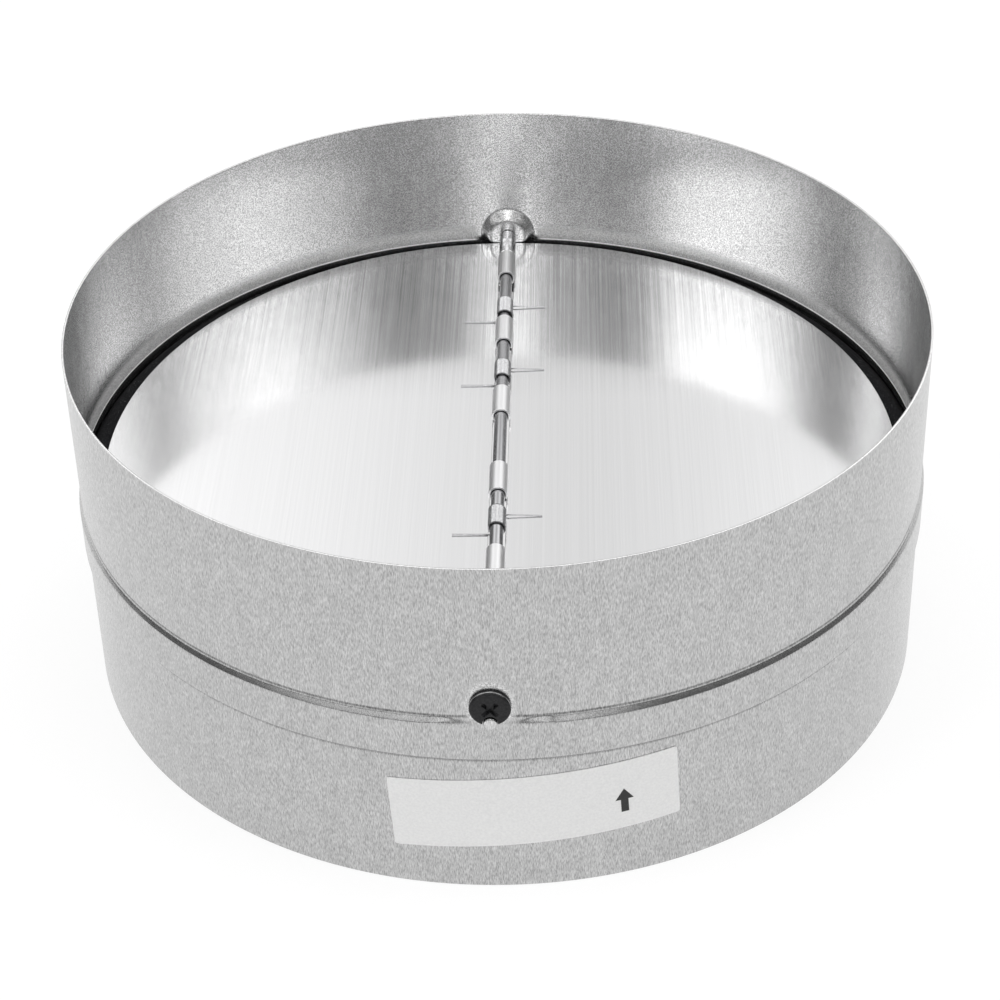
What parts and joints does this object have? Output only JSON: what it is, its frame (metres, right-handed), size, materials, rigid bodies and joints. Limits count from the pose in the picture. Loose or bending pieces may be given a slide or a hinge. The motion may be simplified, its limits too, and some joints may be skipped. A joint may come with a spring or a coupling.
{
  "type": "backdraft damper",
  "caption": "Round duct backdraft damper: a galvanised steel casing whose two spring-closed half-oval blades fold open with the flow and rest on a foam seal.",
  "frame": {"origin": "centre of the casing's inlet end, on the plane it stands on", "axes": "+Z along the duct in the direction of flow, +Y along the spindle away from the labelled side, +X to the right when the label is seen"},
  "size_m": [0.1996, 0.1996, 0.0855],
  "materials": {
    "galvanised_steel": "galvanised, satin, fine vertical mottle",
    "satin_aluminium": "mill finish, satin, faint rolling lines along the spindle",
    "bright_steel": "plain drawn rod",
    "polished_steel": "polished tube",
    "spring_steel": "bright drawn wire",
    "black_foam": "open-cell foam strip, matt",
    "black_screw": "black coated, slightly glossy",
    "label_paper": "matt printed paper"
  },
  "bodies": {
    "casing_body": {"casing": "galvanised_steel", "left_seal": "black_foam", "right_seal": "black_foam", "spindle_rod": "bright_steel", "front_sleeve": "polished_steel", "rear_sleeve": "polished_steel", "front_screw": "black_screw", "rear_screw": "black_screw", "spring_1": "spring_steel", "spring_2": "spring_steel", "spring_3": "spring_steel", "spring_4": "spring_steel"},
    "left_blade_body": {"left_blade": "satin_aluminium"},
    "right_blade_body": {"right_blade": "satin_aluminium"}
  },
  "joints": [
    {"name": "left_blade_hinge", "type": "hinge", "parent": "casing_body", "child": "left_blade_body", "pos_m": [0, 0, 0.05], "axis": [0, 1, 0], "range_deg": [0, 85], "stiffness_Nm_per_rad": 0.004, "springref_deg": -45.84, "deforming": ["spring_1", "spring_2", "spring_3", "spring_4"]},
    {"name": "right_blade_hinge", "type": "hinge", "parent": "casing_body", "child": "right_blade_body", "pos_m": [0, 0, 0.05], "axis": [0, -1, 0], "range_deg": [0, 85], "stiffness_Nm_per_rad": 0.004, "springref_deg": -45.84}
  ]
}
